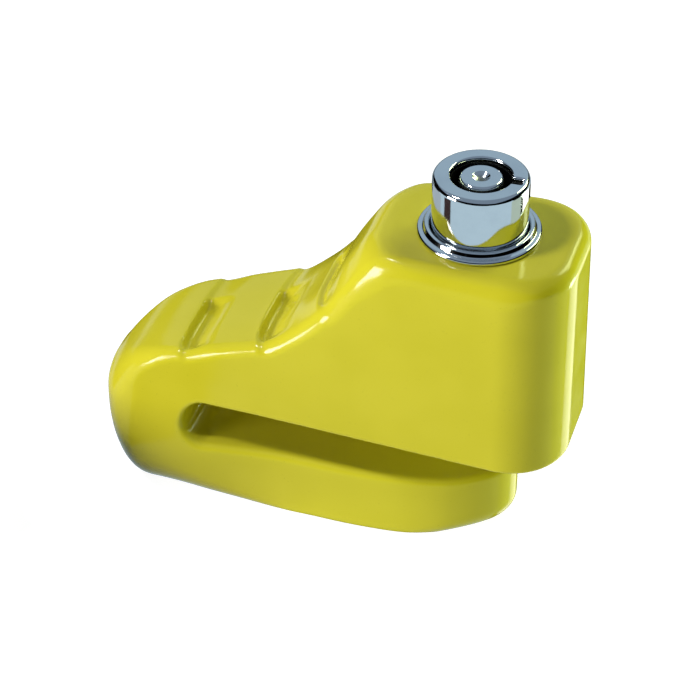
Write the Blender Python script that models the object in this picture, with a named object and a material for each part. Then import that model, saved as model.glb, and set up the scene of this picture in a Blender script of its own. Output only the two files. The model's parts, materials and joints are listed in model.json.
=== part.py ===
"""Disc brake lock with a push-down barrel, a tubular key cylinder and a steel locking pin.

Metres, +Z up.  The origin is the point where the locking pin's axis meets the flat base.
+X runs from the tail to the open mouth of the slot that takes the brake disc, and the
cast body is symmetrical about the plane Y = 0.  The barrel is drawn raised (lock open).
Lengths below are in millimetres and are scaled to metres as each mesh is made.
"""
import math

import bmesh
import bpy
from mathutils import Vector

MM = 0.001
GAP = 0.3                  # air between pieces that seat on each other

# Cast body
BODY_TOP = 58.5
HALF_WIDTH = 14.8          # at the pin axis, level with the slot's roof
TAPER = math.tan(math.radians(3.2))
DRAFT = math.tan(math.radians(1.4))      # the sides lean in above the slot
DRAFT_START_Z = 21.5
HEAD_END_X = 17.6
TAIL_END_X = -66.0
HEAD_CORNER = 11.0         # plan radius at the mouth end of the head
TAIL_CORNER = 10.8         # plan radius at the tail
TOP_EDGE = 2.2
BASE_EDGE = 1.4
TAIL_BASE_EDGE = 4.5       # the base edge swells to this round the tail
TAIL_MID_Z = 17.0
TAIL_BLUNT = 0.12          # the loft stops this far short of the tail's tip
TAIL_SPAN = 13.0           # length at the tail and at the head's corners lofted in fine steps
STATION_STEP = 1.15        # spacing of the sections between them
HEAD_STATIONS = (-6.5, -2.5, 1.5)
FINE_ANGLES = range(0, 91, 10)
TAIL_TOP_X = -51.0         # where the rounded tail end meets the grip
TAIL_BASE_X = -52.0        # where the rounded tail end meets the flat base
HEAD_PLAN_CORNER = 10.0    # the head's top ends towards the tail in an oval with this radius
HEAD_PLAN_X = -6.0         # centre of that rounding
HEAD_PLAN_FLAT = 3.5       # half the straight stretch between its two corners
FLANK = ((0.0, 58.5), (1.2, 57.5), (4.3, 52.7), (7.6, 47.4), (10.8, 43.1), (13.3, 40.1), (15.5, 38.0),
         (18.0, 36.1), (23.2, 34.3), (30.0, 31.5), (37.0, 29.5))   # (distance out from the oval, height)
GRIP_CREASES = (8.4, 20.4, 33.9)                                   # distances out from the oval
CREASE_DEPTH = 1.3
CREASE_SPREAD = 1.6
GRIP_HALF_WIDTH = 12.0     # the creases fade out towards the sides

# Disc slot and lower jaw
SLOT_FLOOR = 12.7
SLOT_ROOF = 20.9
SLOT_ROUND_X = -44.4
JAW_END_X = 8.3
JAW_END_LENGTH = 28.0      # the jaw's plan ends in half an ellipse this long
JAW_HALF_WIDTH = 14.4
PIN_SOCKET_RADIUS = 3.4
PIN_SOCKET_DEPTH = 4.0
OUTSIDE = 5.0              # how far cutters run past the surface they open

# Barrel and its bore
STROKE = 9.6
BARREL_RADIUS = 7.95
BARREL_TOP = 69.4
BARREL_BOTTOM = 36.4
BARREL_INSIDE = 6.3
KEYWAY_RADIUS = 5.0
KEYWAY_FLOOR = 64.1
BORE_RADIUS = 8.25
BORE_FLOOR = 25.5
SEAL_SEAT_RADIUS = 9.5
SEAL_SEAT_Z = 52.1
COLLAR_SPIGOT = 9.2
COLLAR_RADIUS = 10.25
WIPER_HEIGHT = 1.7
RIM_RADIUS = 0.5           # rounding of the barrel's rims
KEY_NOTCH_WIDTH = 1.6
KEY_NOTCH_REACH = 6.8      # from the axis

# Tubular cylinder
CORE_RADIUS = 6.0
POST_RADIUS = 3.6
POST_TOP = 69.1
PLUG_TOP = 63.8
SHEAR_TOP = 59.4           # underside of the turning flange
SHEAR_BOTTOM = 59.1        # top of the fixed driver block
BLOCK_BOTTOM = 51.7
SPINDLE_RADIUS = 2.6
PIN_COUNT = 7
PIN_CIRCLE = 4.3
PIN_HOLE = 0.85
PIN_RADIUS = 0.6
DRIVER_HOLE_BOTTOM = 52.9
DRIVER_LENGTH = 3.1
KEY_PIN_LENGTHS = (5.6, 6.4, 6.0, 6.8, 6.0, 5.6, 6.4)
PIN_LIFT = 0.05            # play at each end of a pin
PIN_SPRING_RADIUS = 0.45
PIN_SPRING_WIRE = 0.12
DIMPLE_RADIUS = 1.6
DIMPLE_DEPTH = 0.8

# Latch
CAM_TOP = 51.4
CAM_BOTTOM = 49.4
CAM_RADIUS = 4.6
CAM_SQUARE = 2.8
CAM_SQUARE_FLOOR = 0.8     # metal left below the square hole
ECCENTRIC = 2.0
ECCENTRIC_RADIUS = 0.9
KEY_TURN = 60.0            # degrees from open to locked
BOLT_TOP = 49.1
BOLT_BOTTOM = 46.7
BOLT_HALF_WIDTH = 4.4
BOLT_HALF_LENGTH = 2.7
BOLT_PLAY = 0.4
NOSE_HALF_WIDTH = 2.5
NOSE_REACH = 7.7           # from the axis, drawn back
BOLT_TRAVEL = 2.0

# Locking pin and its fittings
PIN_SHANK = 3.0
PIN_TIP_Z = 21.5
PIN_HEAD_Z = 45.2
PLUG_SEAT_Z = 41.5         # inner ledge that the return spring pushes on
CROSS_PIN_Z = 43.5
CROSS_PIN_RADIUS = 0.8
CROSS_PIN_LENGTH = 15.2
BUSH_RADIUS = 4.5
BUSH_FLANGE = 6.0
BUSH_FLANGE_TOP = 26.5
SPRING_RADIUS = 4.3
SPRING_WIRE = 0.4
SPRING_TURNS = 4.5
SCREW_Z = 42.5
SCREW_RADIUS = 2.0
SCREW_NOSE = 1.0
SCREW_NOSE_Y = 7.15
SCREW_NOSE_LENGTH = 1.7
SCREW_BACK = 13.6
SCREW_SOCKET = 1.15
SCREW_SOCKET_DEPTH = 1.8
DOWEL_Z = 55.5
DOWEL_RADIUS = 0.7
DOWEL_START = 4.8          # from the axis
DOWEL_LENGTH = 2.7
DOWEL_ANGLE = math.radians(5.5 * 360.0 / PIN_COUNT)

PAINT = (0.66, 0.62, 0.02)
CHROME = (0.80, 0.81, 0.83)
STEEL = (0.55, 0.56, 0.58)
BRASS = (0.72, 0.52, 0.22)
RUBBER = (0.02, 0.02, 0.02)


def clear_scene():
    for item in list(bpy.data.objects):
        bpy.data.objects.remove(item, do_unlink=True)


def make_material(name, colour, roughness, metallic):
    material = bpy.data.materials.new(name)
    material.use_nodes = True
    shader = material.node_tree.nodes["Principled BSDF"]
    shader.inputs["Base Color"].default_value = (*colour, 1.0)
    shader.inputs["Roughness"].default_value = roughness
    shader.inputs["Metallic"].default_value = metallic
    return material


def add_object(name, mesh_builder, material=None, parent=None, at=(0.0, 0.0, 0.0)):
    """Scale the finished bmesh to metres, turn its faces outward and link it as one object."""
    bmesh.ops.scale(mesh_builder, vec=Vector((MM, MM, MM)), verts=mesh_builder.verts)
    bmesh.ops.recalc_face_normals(mesh_builder, faces=mesh_builder.faces)
    mesh = bpy.data.meshes.new(name)
    mesh_builder.to_mesh(mesh)
    mesh_builder.free()
    mesh.shade_smooth()
    mesh.set_sharp_from_angle(angle=math.radians(32.0))
    item = bpy.data.objects.new(name, mesh)
    item.location = Vector(at) * MM
    item.parent = parent
    if material is not None:
        mesh.materials.append(material)
    bpy.context.scene.collection.objects.link(item)
    return item


def add_empty(name, parent=None, at=(0.0, 0.0, 0.0)):
    item = bpy.data.objects.new(name, None)
    item.location = Vector(at) * MM
    item.parent = parent
    bpy.context.scene.collection.objects.link(item)
    return item


def combine(target, tool, operation):
    """Boolean the tool into the target; the tool stays as a hidden guide."""
    tool.hide_render = True
    tool.display_type = "WIRE"
    modifier = target.modifiers.new(tool.name, "BOOLEAN")
    modifier.operation = operation
    modifier.solver = "EXACT"
    modifier.object = tool


def cut(target, tool):
    combine(target, tool, "DIFFERENCE")


def join(target, tool):
    combine(target, tool, "UNION")


def arc(centre, radius, start, end, steps):
    """Points of a circular arc in a plane, angles in degrees."""
    points = []
    for index in range(steps + 1):
        angle = math.radians(start + (end - start) * index / steps)
        points.append((centre[0] + radius * math.cos(angle), centre[1] + radius * math.sin(angle)))
    return points


def turned(profile, steps):
    """Spin a closed (radius, height) profile about Z."""
    builder = bmesh.new()
    rim = [builder.verts.new((radius, 0.0, height)) for radius, height in profile]
    edges = [builder.edges.new((rim[i], rim[(i + 1) % len(rim)])) for i in range(len(rim))]
    on_axis = [edge for edge in edges if all(vert.co.x < 1e-6 for vert in edge.verts)]
    edges = [edge for edge in edges if edge not in on_axis]
    bmesh.ops.delete(builder, geom=on_axis, context="EDGES_FACES")
    bmesh.ops.spin(builder, geom=rim + edges, axis=(0, 0, 1), cent=(0, 0, 0), steps=steps,
                   angle=math.tau, use_merge=True)
    bmesh.ops.remove_doubles(builder, verts=builder.verts, dist=1e-5)
    return builder


def prism(outline, low, high, axis="Z"):
    """Extrude a closed outline along Z, or along Y with the outline given as (x, z)."""
    builder = bmesh.new()
    if axis == "Z":
        corners = [builder.verts.new((a, b, low)) for a, b in outline]
        step = Vector((0.0, 0.0, high - low))
    else:
        corners = [builder.verts.new((a, low, b)) for a, b in outline]
        step = Vector((0.0, high - low, 0.0))
    face = builder.faces.new(corners)
    grown = bmesh.ops.extrude_face_region(builder, geom=[face], use_keep_orig=True)["geom"]
    lifted = [part for part in grown if isinstance(part, bmesh.types.BMVert)]
    bmesh.ops.translate(builder, vec=step, verts=lifted)
    return builder


def rod(radius, length, steps):
    """A round bar from z = 0 to z = length."""
    return turned(((0, 0), (radius, 0), (radius, length), (0, length)), steps)


def chamfered_rod(radius, length, steps, chamfer):
    profile = ((0, 0), (radius - chamfer, 0), (radius, chamfer), (radius, length - chamfer),
               (radius - chamfer, length), (0, length))
    return turned(profile, steps)


def block(x_range, y_range, z_range):
    (left, right), (front, back) = x_range, y_range
    return prism([(left, front), (right, front), (right, back), (left, back)], z_range[0], z_range[1])


def polar(radius, angle, height):
    return (radius * math.cos(angle), radius * math.sin(angle), height)


def swept_coil(radius, wire, turns, low, high, steps_per_turn, sides):
    """A helical wire between two heights, with its ends capped."""
    builder = bmesh.new()
    steps = round(turns * steps_per_turn)
    pitch = (high - low - 2 * wire) / (turns * math.tau)
    rings = []
    for index in range(steps + 1):
        angle = math.tau * turns * index / steps
        outward = Vector((math.cos(angle), math.sin(angle), 0.0))
        along = Vector((-math.sin(angle) * radius, math.cos(angle) * radius, pitch)).normalized()
        upward = along.cross(outward)
        centre = outward * radius + Vector((0.0, 0.0, low + wire + pitch * angle))
        ring = []
        for side in range(sides):
            turn = math.tau * side / sides
            offset = outward * math.cos(turn) + upward * math.sin(turn)
            ring.append(builder.verts.new(centre + offset * wire))
        rings.append(ring)
    for first, second in zip(rings, rings[1:]):
        for side in range(sides):
            after = (side + 1) % sides
            builder.faces.new((first[side], first[after], second[after], second[side]))
    builder.faces.new(rings[0])
    builder.faces.new(rings[-1])
    return builder


def smooth_height(points, x):
    """Height at x of a smooth curve through the points."""
    if x <= points[0][0]:
        return points[0][1]
    if x >= points[-1][0]:
        return points[-1][1]
    index = next(i for i in range(len(points) - 1) if points[i + 1][0] >= x)
    (x0, z0), (x1, z1) = points[index], points[index + 1]
    chord = (z1 - z0) / (x1 - x0)
    before = points[max(index - 1, 0)]
    after = points[min(index + 2, len(points) - 1)]
    slope0 = (z1 - before[1]) / (x1 - before[0]) if index else chord
    slope1 = (after[1] - z0) / (after[0] - x0)
    t = (x - x0) / (x1 - x0)
    h = x1 - x0
    return ((2 * t ** 3 - 3 * t ** 2 + 1) * z0 + (t ** 3 - 2 * t ** 2 + t) * h * slope0
            + (3 * t ** 2 - 2 * t ** 3) * z1 + (t ** 3 - t ** 2) * h * slope1)


def body_half_width(x):
    width = HALF_WIDTH + TAPER * x
    tail_depth = TAIL_END_X + TAIL_CORNER - x
    head_depth = x - (HEAD_END_X - HEAD_CORNER)
    if tail_depth > 0:
        width -= TAIL_CORNER - math.sqrt(TAIL_CORNER ** 2 - tail_depth ** 2)
    if head_depth > 0:
        width -= HEAD_CORNER - math.sqrt(HEAD_CORNER ** 2 - head_depth ** 2)
    return width


def top_height(x, y):
    """Top of the body: level on the head, then falling away evenly round the head's oval to the grip."""
    reach = math.hypot(max(abs(y) - HEAD_PLAN_FLAT, 0.0), max(HEAD_PLAN_X - x, 0.0)) - HEAD_PLAN_CORNER
    height = smooth_height(FLANK, reach)
    fade = max(0.0, 1 - (y / GRIP_HALF_WIDTH) ** 2)
    for crease in GRIP_CREASES:
        height -= CREASE_DEPTH * fade * math.exp(-((reach - crease) / CREASE_SPREAD) ** 2)
    if x < TAIL_TOP_X:
        tail_share = (TAIL_TOP_X - x) / (TAIL_TOP_X - TAIL_END_X)
        height = TAIL_MID_Z + (height - TAIL_MID_Z) * math.sqrt(1 - tail_share ** 2)
    end_depth = x - (HEAD_END_X - TOP_EDGE)
    if end_depth > 0:
        height -= TOP_EDGE - math.sqrt(TOP_EDGE ** 2 - end_depth ** 2)
    return height


def base_height(x):
    if x > TAIL_BASE_X:
        return 0.0
    reach = (TAIL_BASE_X - x) / (TAIL_BASE_X - TAIL_END_X)
    return TAIL_MID_Z - TAIL_MID_Z * math.sqrt(1 - reach ** 2)


def base_edge(x):
    tail = max(0.0, (TAIL_BASE_X - x) / (TAIL_BASE_X - TAIL_END_X))
    return BASE_EDGE + (TAIL_BASE_EDGE - BASE_EDGE) * tail


def body_section(x):
    """Closed (y, z) section of the solid body: shaped top, drafted sides, flat base, round edges."""
    width = body_half_width(x)
    base = base_height(x)
    crown = top_height(x, width)
    lean = DRAFT * max(crown - DRAFT_START_Z, 0.0)
    limit = min(0.45 * (crown - base), 0.6 * width)
    base_radius, top_radius = min(base_edge(x), limit), min(TOP_EDGE, limit)
    turns = [math.radians(step) for step in (0, 30, 60, 90)]
    flat = width - base_radius
    bottom = [(flat * share, base) for share in (0.0, 0.35, 0.7)]
    bottom += [(flat + base_radius * math.sin(a), base + base_radius * (1 - math.cos(a))) for a in turns]
    bottom.append((width, min(DRAFT_START_Z, (base + crown) / 2)))
    flat = width - lean - top_radius
    top = [(flat * share, top_height(x, flat * share)) for share in (0.0, 0.25, 0.5, 0.75)]
    for a in turns:
        y = flat + top_radius * math.sin(a)
        top.append((y, top_height(x, y) - top_radius * (1 - math.cos(a))))
    right = bottom + list(reversed(top))
    left = [(-y, z) for y, z in reversed(right[1:-1])]
    return right + left


def body_stations():
    shares = [1 - math.cos(math.radians(angle)) for angle in FINE_ANGLES]
    tail = [TAIL_END_X + TAIL_BLUNT + TAIL_SPAN * share for share in shares]
    count = int((HEAD_STATIONS[0] - tail[-1]) / STATION_STEP)
    middle = [tail[-1] + STATION_STEP * step for step in range(1, count)]
    start = HEAD_END_X - HEAD_CORNER
    head = [start + HEAD_CORNER * math.sin(math.radians(angle)) for angle in FINE_ANGLES]
    return tail + middle + list(HEAD_STATIONS) + head


def loft_body(paint):
    builder = bmesh.new()
    rings = []
    for x in body_stations():
        rings.append([builder.verts.new((x, y, z)) for y, z in body_section(x)])
    for first, second in zip(rings, rings[1:]):
        for index in range(len(first)):
            after = (index + 1) % len(first)
            builder.faces.new((first[index], first[after], second[after], second[index]))
    builder.faces.new(rings[0])
    builder.faces.new(rings[-1])
    return add_object("lock_body", builder, paint)


def cut_disc_slot(body):
    """The slot for the brake disc, and the shorter rounded end of the jaw below it."""
    radius = (SLOT_ROOF - SLOT_FLOOR) / 2
    middle = SLOT_FLOOR + radius
    beyond = HEAD_END_X + OUTSIDE
    wide = HALF_WIDTH + OUTSIDE
    outline = arc((SLOT_ROUND_X, middle), radius, 90, 270, 12)
    outline += [(beyond, SLOT_FLOOR), (beyond, SLOT_ROOF)]
    cut(body, add_object("cut_disc_slot", prism(outline, -wide, wide, axis="Y")))

    start = JAW_END_X - JAW_END_LENGTH
    turns = [math.radians(step) for step in range(10, 171, 10)]
    outline = [(start + JAW_END_LENGTH * math.sin(a), -JAW_HALF_WIDTH * math.cos(a)) for a in turns]
    outline += [(outline[-1][0], wide), (beyond, wide), (beyond, -wide), (outline[0][0], -wide)]
    cut(body, add_object("cut_jaw_end", prism(outline, -OUTSIDE, middle)))


def build_body(paint):
    body = loft_body(paint)
    cut_disc_slot(body)
    slot_middle = (SLOT_ROOF + SLOT_FLOOR) / 2

    bore = ((0, BORE_FLOOR), (BORE_RADIUS, BORE_FLOOR), (BORE_RADIUS, SEAL_SEAT_Z),
            (SEAL_SEAT_RADIUS, SEAL_SEAT_Z), (SEAL_SEAT_RADIUS, BODY_TOP + OUTSIDE), (0, BODY_TOP + OUTSIDE))
    cut(body, add_object("cut_barrel_bore", turned(bore, 40)))
    bush_hole = rod(BUSH_RADIUS + GAP, BORE_FLOOR + 1 - slot_middle, 24)
    cut(body, add_object("cut_bush_hole", bush_hole, at=(0, 0, slot_middle)))
    socket_floor = SLOT_FLOOR - PIN_SOCKET_DEPTH
    socket = rod(PIN_SOCKET_RADIUS, slot_middle - socket_floor, 24)
    cut(body, add_object("cut_pin_socket", socket, at=(0, 0, socket_floor)))

    reach = NOSE_REACH + BOLT_TRAVEL + GAP
    half = NOSE_HALF_WIDTH + 2 * GAP
    lowered = (BOLT_BOTTOM - STROKE - BOLT_PLAY, BOLT_TOP - STROKE + BOLT_PLAY)
    raised = (BOLT_BOTTOM - BOLT_PLAY, SEAL_SEAT_Z + 1)
    for name, heights in (("locked", lowered), ("raised", raised)):
        groove = block((-reach, 1 - BORE_RADIUS), (-half, half), heights)
        cut(body, add_object("cut_latch_groove_" + name, groove))
    screw_hole = rod(SCREW_RADIUS + GAP, 2 * SCREW_BACK, 20)
    screw_hole = add_object("cut_screw_hole", screw_hole, at=(0, SCREW_NOSE_Y, SCREW_Z))
    screw_hole.rotation_euler = (math.radians(-90), 0, 0)
    cut(body, screw_hole)
    return body


def build_collar(chrome):
    """Trim ring pressed into the top of the bore; the barrel runs through it."""
    spigot, outer, inner = COLLAR_SPIGOT, COLLAR_RADIUS, BORE_RADIUS
    foot = SEAL_SEAT_Z + GAP + WIPER_HEIGHT + GAP
    seat = BODY_TOP + GAP
    profile = ((inner, foot), (spigot, foot), (spigot, seat), (outer - 0.25, seat), (outer, seat + 0.25),
               (outer - 0.25, seat + 0.7), (outer - 1.15, seat + 0.8), (outer - 1.3, seat + 1.2),
               (outer - 1.75, seat + 1.5), (inner, seat + 1.4))
    return add_object("bezel_collar", turned(profile, 48), chrome)


def build_wiper(rubber):
    low = SEAL_SEAT_Z + GAP
    profile = ((BORE_RADIUS, low), (COLLAR_SPIGOT, low), (COLLAR_SPIGOT, low + WIPER_HEIGHT),
               (BORE_RADIUS, low + WIPER_HEIGHT))
    return add_object("wiper_ring", turned(profile, 32), rubber)


def build_bush(steel):
    bottom = SLOT_ROOF + GAP
    shoulder = BORE_FLOOR + GAP
    hole = PIN_SHANK + GAP
    profile = ((hole, bottom), (BUSH_RADIUS, bottom), (BUSH_RADIUS, shoulder), (BUSH_FLANGE, shoulder),
               (BUSH_FLANGE, BUSH_FLANGE_TOP), (hole, BUSH_FLANGE_TOP))
    return add_object("pin_guide_bush", turned(profile, 24), steel)


def build_guide_screw(steel):
    """A socket set screw in the back of the head; its nose runs in the barrel's slot."""
    front, back = SCREW_NOSE_Y, SCREW_BACK
    thread = front + SCREW_NOSE_LENGTH
    chamfer = 0.2
    profile = ((0, front), (SCREW_NOSE, front), (SCREW_NOSE, thread), (SCREW_RADIUS, thread + 2 * chamfer),
               (SCREW_RADIUS, back - chamfer), (SCREW_RADIUS - chamfer, back), (0, back))
    screw = add_object("guide_screw", turned(profile, 18), steel, at=(0, 0, SCREW_Z))
    screw.rotation_euler = (math.radians(-90), 0, 0)
    turns = [math.tau * corner / 6 for corner in range(6)]
    hexagon = [(SCREW_SOCKET * math.cos(turn), SCREW_SOCKET * math.sin(turn)) for turn in turns]
    socket = prism(hexagon, back - SCREW_SOCKET_DEPTH, back + 1)
    socket = add_object("cut_screw_socket", socket, at=(0, 0, SCREW_Z))
    socket.rotation_euler = screw.rotation_euler
    cut(screw, socket)
    return screw


def build_return_spring(steel):
    low, high = BUSH_FLANGE_TOP + GAP, PLUG_SEAT_Z - GAP
    builder = swept_coil(SPRING_RADIUS, SPRING_WIRE, SPRING_TURNS, low, high, 20, 6)
    return add_object("return_spring", builder, steel)


def cross_pin_hole(owner):
    """A hole along X for the pin that ties the barrel, its base plug and the locking pin."""
    hole = rod(CROSS_PIN_RADIUS + GAP, 2 * CORE_RADIUS + 2 * OUTSIDE, 12)
    hole = add_object("cut_cross_hole_" + owner, hole, at=(-CORE_RADIUS - OUTSIDE, 0, CROSS_PIN_Z))
    hole.rotation_euler = (0, math.radians(90), 0)
    return hole


def dowel_hole(owner, start):
    """A radial hole for the dowel that holds the driver block in the barrel."""
    hole = rod(DOWEL_RADIUS + GAP, 4, 12)
    hole = add_object("cut_dowel_hole_" + owner, hole, at=polar(start, DOWEL_ANGLE, DOWEL_Z))
    hole.rotation_euler = (math.radians(90), 0, DOWEL_ANGLE + math.radians(90))
    return hole


def drill_pin_holes(item, owner, low, high):
    for index in range(PIN_COUNT):
        angle = math.tau * index / PIN_COUNT
        name = "cut_%s_hole_%d" % (owner, index + 1)
        cut(item, add_object(name, rod(PIN_HOLE, high - low, 10), at=polar(PIN_CIRCLE, angle, low)))


def build_barrel(chrome, parent):
    """The tube that is pushed down, open below for its fittings, with the key notch at +X."""
    rim = RIM_RADIUS
    profile = [(BARREL_INSIDE, BARREL_BOTTOM), (BARREL_RADIUS - rim, BARREL_BOTTOM),
               (BARREL_RADIUS, BARREL_BOTTOM + rim)]
    profile += arc((BARREL_RADIUS - rim, BARREL_TOP - rim), rim, 0, 90, 3)
    profile += [(KEYWAY_RADIUS + rim, BARREL_TOP), (KEYWAY_RADIUS, BARREL_TOP - rim),
                (KEYWAY_RADIUS, KEYWAY_FLOOR), (BARREL_INSIDE, KEYWAY_FLOOR)]
    barrel = add_object("plunger_barrel", turned(profile, 48), chrome, parent)
    half = KEY_NOTCH_WIDTH / 2
    notch = block((KEYWAY_RADIUS - 1, KEY_NOTCH_REACH), (-half, half), (KEYWAY_FLOOR - 1, BARREL_TOP + 1))
    cut(barrel, add_object("cut_key_notch", notch))
    half = NOSE_HALF_WIDTH + GAP
    heights = (BOLT_BOTTOM - GAP, BOLT_TOP + GAP)
    window = block((-BARREL_RADIUS - 1, 1 - BARREL_INSIDE), (-half, half), heights)
    cut(barrel, add_object("cut_latch_window", window))
    half = SCREW_NOSE + GAP
    outline = arc((0, SCREW_Z), half, 180, 360, 8) + arc((0, SCREW_Z + STROKE), half, 0, 180, 8)
    cut(barrel, add_object("cut_guide_slot", prism(outline, SCREW_NOSE_Y - GAP, BARREL_RADIUS + 1, axis="Y")))
    cut(barrel, cross_pin_hole("barrel"))
    cut(barrel, dowel_hole("barrel", BARREL_INSIDE - 1.3))
    return barrel


def build_driver_block(brass, parent):
    hole = SPINDLE_RADIUS + GAP
    profile = ((hole, BLOCK_BOTTOM), (CORE_RADIUS, BLOCK_BOTTOM), (CORE_RADIUS, SHEAR_BOTTOM),
               (hole, SHEAR_BOTTOM))
    item = add_object("driver_block", turned(profile, 36), brass, parent)
    drill_pin_holes(item, "driver", DRIVER_HOLE_BOTTOM, SHEAR_BOTTOM + 1)
    cut(item, dowel_hole("driver_block", DOWEL_START - 0.4))
    return item


def build_dowel(steel, parent):
    item = rod(DOWEL_RADIUS, DOWEL_LENGTH, 12)
    item = add_object("block_dowel", item, steel, parent, polar(DOWEL_START, DOWEL_ANGLE, DOWEL_Z))
    item.rotation_euler = (math.radians(90), 0, DOWEL_ANGLE + math.radians(90))
    return item


def build_pin_stacks(brass, steel, barrel_axis, key_axis):
    """Seven driver pins and springs in the block, and seven key pins that turn with the plug."""
    driver_low = SHEAR_BOTTOM - PIN_LIFT - DRIVER_LENGTH
    spring_low = DRIVER_HOLE_BOTTOM + 2 * PIN_LIFT
    spring_length = driver_low - 2 * PIN_LIFT - spring_low
    for index, length in enumerate(KEY_PIN_LENGTHS):
        angle = math.tau * index / PIN_COUNT
        number = str(index + 1)
        driver = rod(PIN_RADIUS, DRIVER_LENGTH, 10)
        add_object("driver_pin_" + number, driver, brass, barrel_axis, polar(PIN_CIRCLE, angle, driver_low))
        spring = swept_coil(PIN_SPRING_RADIUS, PIN_SPRING_WIRE, 5, 0, spring_length, 7, 4)
        add_object("pin_spring_" + number, spring, steel, barrel_axis, polar(PIN_CIRCLE, angle, spring_low))
        key_pin = chamfered_rod(PIN_RADIUS, length, 12, 0.2)
        add_object("key_pin_" + number, key_pin, brass, key_axis,
                   polar(PIN_CIRCLE, angle, SHEAR_TOP + PIN_LIFT))


def build_key_plug(chrome, parent):
    """Turning flange that carries the key pins, with the key's centre post and the spindle below."""
    rim = 0.4
    tail_top, tail_bottom = CAM_TOP + GAP, CAM_BOTTOM + CAM_SQUARE_FLOOR + GAP
    profile = [(0, tail_top), (SPINDLE_RADIUS, tail_top), (SPINDLE_RADIUS, SHEAR_TOP),
               (CORE_RADIUS, SHEAR_TOP), (CORE_RADIUS, PLUG_TOP), (POST_RADIUS, PLUG_TOP)]
    profile += arc((POST_RADIUS - rim, POST_TOP - rim), rim, 0, 90, 3)
    profile += [(DIMPLE_RADIUS, POST_TOP), (0.75 * DIMPLE_RADIUS, POST_TOP - 0.75 * DIMPLE_DEPTH),
                (0, POST_TOP - DIMPLE_DEPTH)]
    plug = add_object("key_plug", turned(profile, 40), chrome, parent)
    drill_pin_holes(plug, "plug", SHEAR_TOP - 1, PLUG_TOP + 0.02)
    half = CAM_SQUARE / 2
    square = block((-half, half), (-half, half), (tail_bottom, tail_top + 1))
    join(plug, add_object("guide_square_tail", square))
    return plug


def build_cam(steel, parent):
    """Disc on the plug's square tail, with an eccentric peg below it that works the bolt."""
    disc = rod(CAM_RADIUS, CAM_TOP - CAM_BOTTOM, 28)
    cam = add_object("latch_cam", disc, steel, parent, at=(0, 0, CAM_BOTTOM))
    half = CAM_SQUARE / 2 + GAP
    socket = block((-half, half), (-half, half), (CAM_BOTTOM + CAM_SQUARE_FLOOR, CAM_TOP + 1))
    cut(cam, add_object("cut_cam_square", socket))
    peg_bottom = BOLT_BOTTOM + GAP
    peg = rod(ECCENTRIC_RADIUS, CAM_BOTTOM + 0.4 - peg_bottom, 16)
    join(cam, add_object("guide_cam_peg", peg, at=polar(ECCENTRIC, math.radians(KEY_TURN), peg_bottom)))
    return cam


def build_latch_bolt(steel, parent):
    """Plate with a cross slot for the cam's peg; its nose passes through the barrel's window."""
    middle = ECCENTRIC * math.cos(math.radians(KEY_TURN))
    back, shoulder = middle + BOLT_HALF_LENGTH, middle - BOLT_HALF_LENGTH
    lead = NOSE_REACH - 0.4
    side = [(back, BOLT_HALF_WIDTH), (shoulder, BOLT_HALF_WIDTH), (shoulder, NOSE_HALF_WIDTH),
            (-lead, NOSE_HALF_WIDTH), (-NOSE_REACH, NOSE_HALF_WIDTH - 0.8)]
    outline = side + [(x, -y) for x, y in reversed(side)]
    bolt = add_object("latch_bolt", prism(outline, BOLT_BOTTOM, BOLT_TOP), steel, parent)
    clear = ECCENTRIC_RADIUS + GAP
    low_y = ECCENTRIC * math.sin(math.radians(KEY_TURN))
    slot = arc((middle, low_y), clear, 180, 360, 8) + arc((middle, ECCENTRIC), clear, 0, 180, 8)
    cut(bolt, add_object("cut_bolt_slot", prism(slot, BOLT_BOTTOM - 1, BOLT_TOP + 1)))
    return bolt


def build_base_plug(steel, parent):
    """Closes the barrel below: it holds the locking pin's head and takes the return spring's push."""
    bottom, top = BARREL_BOTTOM + GAP, BOLT_BOTTOM - GAP
    recess = SPRING_RADIUS + SPRING_WIRE + 0.5
    hole = PIN_SHANK + GAP
    profile = ((0, PIN_HEAD_Z + GAP), (hole, PIN_HEAD_Z + GAP), (hole, PLUG_SEAT_Z), (recess, PLUG_SEAT_Z),
               (recess, bottom), (CORE_RADIUS, bottom), (CORE_RADIUS, top), (0, top))
    item = add_object("barrel_base_plug", turned(profile, 32), steel, parent)
    cut(item, cross_pin_hole("base_plug"))
    return item


def build_locking_pin(steel, parent):
    chamfer = 0.7
    profile = ((0, PIN_TIP_Z), (PIN_SHANK - chamfer, PIN_TIP_Z), (PIN_SHANK, PIN_TIP_Z + chamfer),
               (PIN_SHANK, PIN_HEAD_Z), (0, PIN_HEAD_Z))
    item = add_object("locking_pin", turned(profile, 28), steel, parent)
    cut(item, cross_pin_hole("locking_pin"))
    return item


def build_cross_pin(steel, parent):
    pin = rod(CROSS_PIN_RADIUS, CROSS_PIN_LENGTH, 12)
    item = add_object("cross_pin", pin, steel, parent, (-CROSS_PIN_LENGTH / 2, 0, CROSS_PIN_Z))
    item.rotation_euler = (0, math.radians(90), 0)
    return item


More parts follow.
